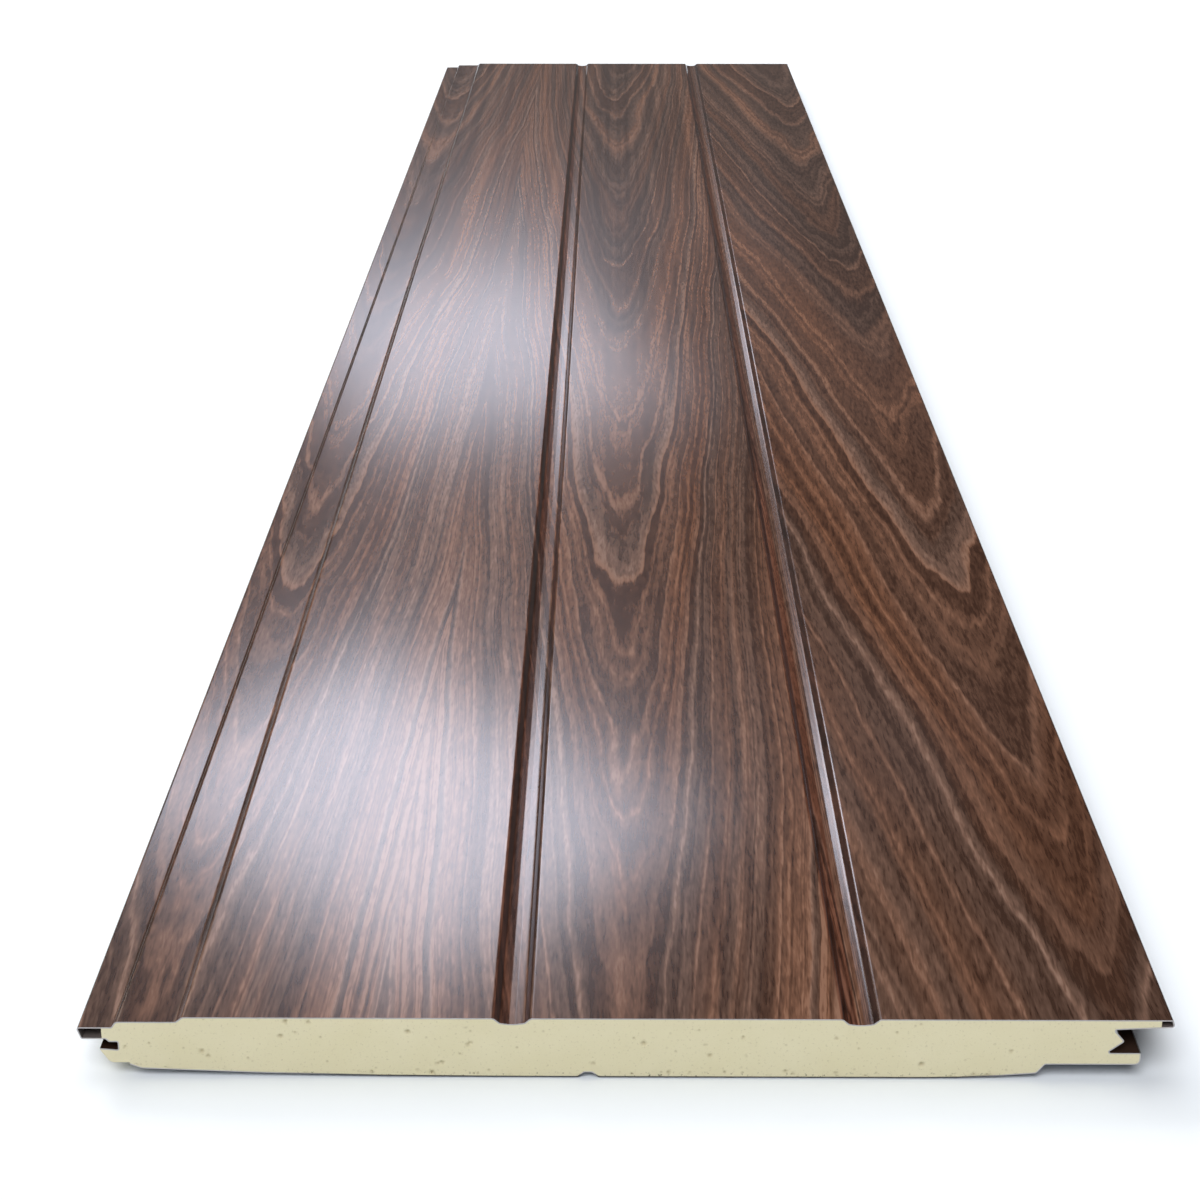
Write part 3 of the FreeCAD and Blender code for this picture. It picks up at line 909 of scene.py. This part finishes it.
def place_lamp(name, data, location):
    """Adds a lamp that shines straight down."""
    lamp = bpy.data.objects.new(name, data)
    lamp.location = location
    bpy.context.scene.collection.objects.link(lamp)
    return lamp


def sky_lamp(name, direction, strength, spread, tint):
    """A soft lamp far off in a direction, that many degrees wide."""
    data = bpy.data.lights.new(name, "SUN")
    data.energy = strength
    data.color = tint
    data.angle = math.radians(spread)
    lamp = place_lamp(name, data, direction)
    lamp.rotation_euler = Vector(direction).to_track_quat("Z", "Y").to_euler()


def ceiling_lamp(name, settings):
    """A ceiling lamp with soft sides, placed where the camera sees it mirrored in the face."""
    side = getattr(settings, f"{name}_side")
    along = getattr(settings, f"{name}_glare")
    width = getattr(settings, f"{name}_glare_width")
    span = getattr(settings, f"{name}_glare_length")
    radiance = getattr(settings, f"{name}_radiance")
    grow = (settings.camera_height + settings.lamp_height) / settings.camera_height
    camera_along = NEAR_END - settings.camera_back
    x = settings.camera_side + (side - settings.camera_side) * grow
    y = camera_along + (along - camera_along) * grow
    for step, (share_of_width, share_of_light) in enumerate(LAMP_STEPS):
        data = bpy.data.lights.new(f"{name}_lamp_{step}", "AREA")
        data.shape = "RECTANGLE"
        data.size = width * share_of_width * grow
        data.size_y = span * (1.0 + LENGTH_STEP * (share_of_width - 1.0)) * grow
        data.color = LAMP_TINT
        data.energy = radiance * share_of_light * math.pi * data.size * data.size_y
        lamp = place_lamp(data.name, data, (x, y, FACE_HEIGHT + settings.lamp_height))
        lamp.rotation_euler.z = getattr(settings, f"{name}_turn")


def studio_world(settings):
    """A dim even surround, a little brighter low down, with a low white band behind and at both sides."""
    world = bpy.data.worlds.new("studio")
    world.use_nodes = True
    tree = world.node_tree
    direction = tree.nodes.new("ShaderNodeTexCoord").outputs["Generated"]
    parts = add(tree, "ShaderNodeSeparateXYZ", {0: direction}).outputs
    height = parts["Z"]
    strength = between(tree, height, *LOW_LIGHT, settings.horizon, settings.surround)
    white_band = between(tree, height, *WHITE_BAND, 1.0 - settings.horizon, 0.0)
    not_ahead = between(tree, parts["Y"], *AHEAD, 1.0, 0.0)
    strength = calc(tree, "MULTIPLY_ADD", white_band, not_ahead, strength)
    background = tree.nodes["Background"]
    background.inputs["Color"].default_value = (1, 1, 1, 1)
    tree.links.new(strength, background.inputs["Strength"])
    return world


class SIDING_OT_stage(bpy.types.Operator):
    """Sets the floor, the lamps and the camera"""
    bl_idname = "siding.stage"
    bl_label = "Stage"

    def execute(self, context):
        scene = context.scene
        settings = scene.siding_stage
        scene.view_settings.view_transform = "Standard"
        mesh = bpy.data.meshes.new("floor")
        square = ((-1, -1), (1, -1), (1, 1), (-1, 1))
        corners = [(x * FLOOR_HALF, y * FLOOR_HALF, -FLOOR_GAP) for x, y in square]
        mesh.from_pydata(corners, [], [(0, 1, 2, 3)])
        mesh.materials.append(floor_material(settings))
        floor = bpy.data.objects.new("floor", mesh)
        scene.collection.objects.link(floor)

        camera_data = bpy.data.cameras.new("camera")
        camera_data.lens = settings.lens
        camera_data.sensor_width = SENSOR_WIDTH
        camera = bpy.data.objects.new("camera", camera_data)
        camera.location = (settings.camera_side, NEAR_END - settings.camera_back,
                           FACE_HEIGHT + settings.camera_height)
        camera.rotation_euler = (math.pi / 2 - settings.camera_pitch, 0.0, settings.camera_yaw)
        scene.collection.objects.link(camera)
        scene.camera = camera

        scene.world = studio_world(settings)
        for name, (direction, spread, tint) in SKY_LAMPS.items():
            sky_lamp(name, direction, getattr(settings, name), spread, tint)
        for name in ("near", "far", "end"):
            ceiling_lamp(name, settings)
        return {"FINISHED"}


class SIDING_PT_panel(bpy.types.Panel):
    """Lists the pieces and their settings"""
    bl_label = "Siding panel"
    bl_idname = "SIDING_PT_panel"
    bl_space_type = "VIEW_3D"
    bl_region_type = "UI"
    bl_category = "Siding"

    def draw(self, context):
        for operator in OPERATORS:
            self.layout.operator(operator.bl_idname)
        for name, group in SETTINGS.items():
            box = self.layout.box()
            for key in group.__annotations__:
                box.prop(getattr(context.scene, name), key)


OPERATORS = (SIDING_OT_face_sheet, SIDING_OT_foam_core, SIDING_OT_backing_foil, SIDING_OT_stage)
SETTINGS = {"siding_print": PrintSettings, "siding_foam": FoamSettings, "siding_sheet": SheetSettings,
            "siding_stage": StageSettings}


def register():
    """Adds the settings, the operators and the sidebar panel."""
    for group in SETTINGS.values():
        bpy.utils.register_class(group)
    for name, group in SETTINGS.items():
        setattr(bpy.types.Scene, name, PointerProperty(type=group))
    for operator in OPERATORS:
        bpy.utils.register_class(operator)
    bpy.utils.register_class(SIDING_PT_panel)


def unregister():
    """Takes them away again."""
    bpy.utils.unregister_class(SIDING_PT_panel)
    for operator in reversed(OPERATORS):
        bpy.utils.unregister_class(operator)
    for name, group in SETTINGS.items():
        delattr(bpy.types.Scene, name)
        bpy.utils.unregister_class(group)


def main():
    """Makes the pieces and the stage."""
    register()
    bpy.ops.siding.face_sheet()
    bpy.ops.siding.foam_core()
    bpy.ops.siding.backing_foil()
    bpy.ops.siding.stage()


if __name__ == "__main__":
    main()
